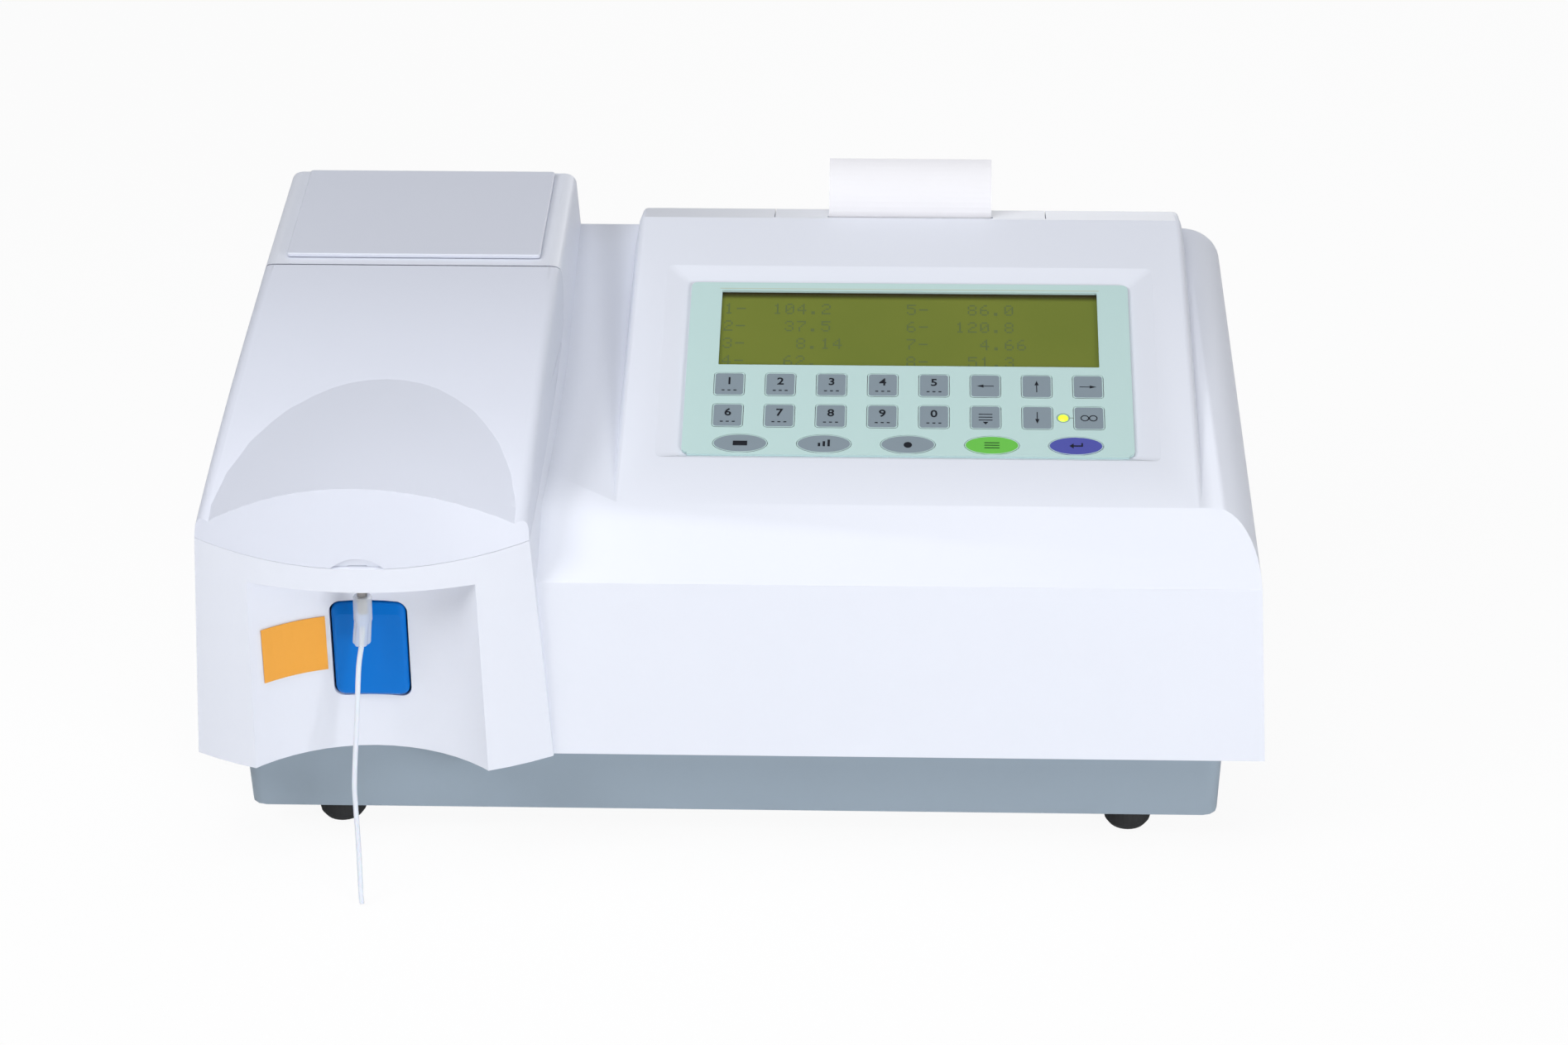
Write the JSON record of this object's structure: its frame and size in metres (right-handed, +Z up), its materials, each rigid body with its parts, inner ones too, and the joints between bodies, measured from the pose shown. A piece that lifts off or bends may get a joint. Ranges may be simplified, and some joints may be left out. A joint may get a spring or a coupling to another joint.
{
  "type": "benchtop chemistry analyzer",
  "caption": "Benchtop photometric analyzer: wedge housing with sloping display and keypad, hinged sample-side lid, printer, and aspiration nozzle over a scooped recess.",
  "frame": {"origin": "on the bench under the middle of the machine", "axes": "+X to the right seen from the front, +Y to the back, +Z up"},
  "size_m": [0.3545, 0.2121, 0.1774],
  "materials": {
    "shell": "fine-textured moulded ABS, bluish off-white",
    "tray": "smooth blue-grey paint",
    "feet": "matt black rubber",
    "overlay": "pale teal polyester film, satin",
    "grey_key": "grey printed film, satin",
    "green_key": "green printed film, satin",
    "blue_key": "blue-violet printed film, satin",
    "blue_plastic": "bright blue moulded plastic, slight gloss",
    "display_glass": "olive liquid crystal behind clear glass",
    "indicator": "yellow-green lens",
    "stainless": "drawn stainless steel",
    "sheet_aluminium": "mill-finish sheet",
    "anodised_black": "black anodised",
    "quartz": "clear quartz",
    "circuit_board": "green solder mask",
    "black_plastic": "black moulded plastic",
    "white_plastic": "natural acetal",
    "roller_rubber": "ground rubber",
    "clear_sleeve": "translucent silicone",
    "white_tube": "milky fluoropolymer tube",
    "paper": "thermal paper",
    "amber_film": "plain amber film"
  },
  "bodies": {
    "root": {"main_housing": "shell", "base_tray": "tray", "rear_panel": "tray", "foot_front_left": "feet", "foot_front_right": "feet", "foot_rear_left": "feet", "foot_rear_right": "feet", "keypad_overlay": "overlay", "lcd_glass": "display_glass", "status_led": "indicator", "lid_hinge_pin": "stainless", "aspiration_nozzle": "stainless", "serial_port": "stainless", "filter_motor": "stainless", "optics_deck": "sheet_aluminium", "power_supply": "sheet_aluminium", "optics_block": "anodised_black", "lamp": "anodised_black", "pump_body": "anodised_black", "flow_cell": "quartz", "mainboard": "circuit_board", "lcd_module": "circuit_board", "fan_frame": "black_plastic", "power_inlet": "black_plastic", "printer_mechanism": "black_plastic", "nozzle_sleeve": "clear_sleeve", "aspiration_tube": "white_tube", "amber_sticker": "amber_film"},
    "lid": {"flow_cell_lid": "shell"},
    "lamp_cover": {"lamp_cover": "shell"},
    "printer_cover": {"printer_cover": "shell", "paper_strip": "paper"},
    "aspirate_key": {"aspirate_key": "blue_plastic"},
    "power_rocker": {"power_rocker": "black_plastic"},
    "pump_rotor": {"pump_rotor": "white_plastic"},
    "filter_wheel": {"filter_wheel": "anodised_black"},
    "fan_rotor": {"fan_rotor": "black_plastic"},
    "platen_roller": {"platen_roller": "roller_rubber"},
    "paper_roll": {"paper_roll": "paper"},
    "key_number_1": {"key_number_1": "grey_key"},
    "key_number_2": {"key_number_2": "grey_key"},
    "key_number_3": {"key_number_3": "grey_key"},
    "key_number_4": {"key_number_4": "grey_key"},
    "key_number_5": {"key_number_5": "grey_key"},
    "key_arrow_left": {"key_arrow_left": "grey_key"},
    "key_arrow_up": {"key_arrow_up": "grey_key"},
    "key_arrow_right": {"key_arrow_right": "grey_key"},
    "key_number_6": {"key_number_6": "grey_key"},
    "key_number_7": {"key_number_7": "grey_key"},
    "key_number_8": {"key_number_8": "grey_key"},
    "key_number_9": {"key_number_9": "grey_key"},
    "key_number_0": {"key_number_0": "grey_key"},
    "key_paper_feed": {"key_paper_feed": "grey_key"},
    "key_arrow_down": {"key_arrow_down": "grey_key"},
    "key_link": {"key_link": "grey_key"},
    "key_oval_left": {"key_oval_left": "grey_key"},
    "key_oval_centre_left": {"key_oval_centre_left": "grey_key"},
    "key_oval_centre": {"key_oval_centre": "grey_key"},
    "key_oval_green": {"key_oval_green": "green_key"},
    "key_oval_blue": {"key_oval_blue": "blue_key"}
  },
  "joints": [
    {"name": "lid_hinge", "type": "hinge", "parent": "root", "child": "lid", "pos_m": [-0.111, 0.01773, 0.1637], "axis": [-1, 0, 0], "range_deg": [0, 75]},
    {"name": "lamp_cover_lift", "type": "slide", "parent": "root", "child": "lamp_cover", "axis": [0, 0, 1], "range_m": [0, 0.03]},
    {"name": "printer_cover_hinge", "type": "hinge", "parent": "root", "child": "printer_cover", "pos_m": [0.0581, 0.09686, 0.1058], "axis": [-1, 0, 0], "range_deg": [0, 80]},
    {"name": "aspirate_press", "type": "slide", "parent": "root", "child": "aspirate_key", "axis": [0, 1, 0], "range_m": [0, 0.002], "stiffness_N_per_m": 600},
    {"name": "power_rocker_tilt", "type": "hinge", "parent": "root", "child": "power_rocker", "pos_m": [0.098, 0.09006, 0.07555], "axis": [-1, 0, 0], "range_deg": [0, 18]},
    {"name": "pump_spin", "type": "hinge", "parent": "root", "child": "pump_rotor", "pos_m": [-0.138, -0.02687, 0.11], "axis": [0, 0, 1], "continuous": true},
    {"name": "filter_wheel_spin", "type": "hinge", "parent": "root", "child": "filter_wheel", "pos_m": [-0.112, 0.04313, 0.1225], "axis": [0, 1, 0], "continuous": true},
    {"name": "fan_spin", "type": "hinge", "parent": "root", "child": "fan_rotor", "pos_m": [0.004, 0.08413, 0.07555], "axis": [0, 1, 0], "continuous": true},
    {"name": "paper_roll_spin", "type": "hinge", "parent": "root", "child": "paper_roll", "pos_m": [0.0581, 0.07263, 0.1232], "axis": [1, 0, 0], "continuous": true},
    {"name": "platen_spin", "type": "hinge", "parent": "root", "child": "platen_roller", "pos_m": [0.0581, 0.08763, 0.1468], "axis": [1, 0, 0], "continuous": true},
    {"name": "key_number_1_press", "type": "slide", "parent": "root", "child": "key_number_1", "axis": [0, 0.2521, -0.9677], "range_m": [0, 0.0004], "stiffness_N_per_m": 200},
    {"name": "key_number_2_press", "type": "slide", "parent": "root", "child": "key_number_2", "axis": [0, 0.2521, -0.9677], "range_m": [0, 0.0004], "stiffness_N_per_m": 200},
    {"name": "key_number_3_press", "type": "slide", "parent": "root", "child": "key_number_3", "axis": [0, 0.2521, -0.9677], "range_m": [0, 0.0004], "stiffness_N_per_m": 200},
    {"name": "key_number_4_press", "type": "slide", "parent": "root", "child": "key_number_4", "axis": [0, 0.2521, -0.9677], "range_m": [0, 0.0004], "stiffness_N_per_m": 200},
    {"name": "key_number_5_press", "type": "slide", "parent": "root", "child": "key_number_5", "axis": [0, 0.2521, -0.9677], "range_m": [0, 0.0004], "stiffness_N_per_m": 200},
    {"name": "key_arrow_left_press", "type": "slide", "parent": "root", "child": "key_arrow_left", "axis": [0, 0.2521, -0.9677], "range_m": [0, 0.0004], "stiffness_N_per_m": 200},
    {"name": "key_arrow_up_press", "type": "slide", "parent": "root", "child": "key_arrow_up", "axis": [0, 0.2521, -0.9677], "range_m": [0, 0.0004], "stiffness_N_per_m": 200},
    {"name": "key_arrow_right_press", "type": "slide", "parent": "root", "child": "key_arrow_right", "axis": [0, 0.2521, -0.9677], "range_m": [0, 0.0004], "stiffness_N_per_m": 200},
    {"name": "key_number_6_press", "type": "slide", "parent": "root", "child": "key_number_6", "axis": [0, 0.2521, -0.9677], "range_m": [0, 0.0004], "stiffness_N_per_m": 200},
    {"name": "key_number_7_press", "type": "slide", "parent": "root", "child": "key_number_7", "axis": [0, 0.2521, -0.9677], "range_m": [0, 0.0004], "stiffness_N_per_m": 200},
    {"name": "key_number_8_press", "type": "slide", "parent": "root", "child": "key_number_8", "axis": [0, 0.2521, -0.9677], "range_m": [0, 0.0004], "stiffness_N_per_m": 200},
    {"name": "key_number_9_press", "type": "slide", "parent": "root", "child": "key_number_9", "axis": [0, 0.2521, -0.9677], "range_m": [0, 0.0004], "stiffness_N_per_m": 200},
    {"name": "key_number_0_press", "type": "slide", "parent": "root", "child": "key_number_0", "axis": [0, 0.2521, -0.9677], "range_m": [0, 0.0004], "stiffness_N_per_m": 200},
    {"name": "key_paper_feed_press", "type": "slide", "parent": "root", "child": "key_paper_feed", "axis": [0, 0.2521, -0.9677], "range_m": [0, 0.0004], "stiffness_N_per_m": 200},
    {"name": "key_arrow_down_press", "type": "slide", "parent": "root", "child": "key_arrow_down", "axis": [0, 0.2521, -0.9677], "range_m": [0, 0.0004], "stiffness_N_per_m": 200},
    {"name": "key_link_press", "type": "slide", "parent": "root", "child": "key_link", "axis": [0, 0.2521, -0.9677], "range_m": [0, 0.0004], "stiffness_N_per_m": 200},
    {"name": "key_oval_left_press", "type": "slide", "parent": "root", "child": "key_oval_left", "axis": [0, 0.2521, -0.9677], "range_m": [0, 0.0004], "stiffness_N_per_m": 200},
    {"name": "key_oval_centre_left_press", "type": "slide", "parent": "root", "child": "key_oval_centre_left", "axis": [0, 0.2521, -0.9677], "range_m": [0, 0.0004], "stiffness_N_per_m": 200},
    {"name": "key_oval_centre_press", "type": "slide", "parent": "root", "child": "key_oval_centre", "axis": [0, 0.2521, -0.9677], "range_m": [0, 0.0004], "stiffness_N_per_m": 200},
    {"name": "key_oval_green_press", "type": "slide", "parent": "root", "child": "key_oval_green", "axis": [0, 0.2521, -0.9677], "range_m": [0, 0.0004], "stiffness_N_per_m": 200},
    {"name": "key_oval_blue_press", "type": "slide", "parent": "root", "child": "key_oval_blue", "axis": [0, 0.2521, -0.9677], "range_m": [0, 0.0004], "stiffness_N_per_m": 200}
  ],
  "couplings": [
    {"joint": "platen_spin", "follows": "paper_roll_spin", "ratio": -4.75}
  ]
}
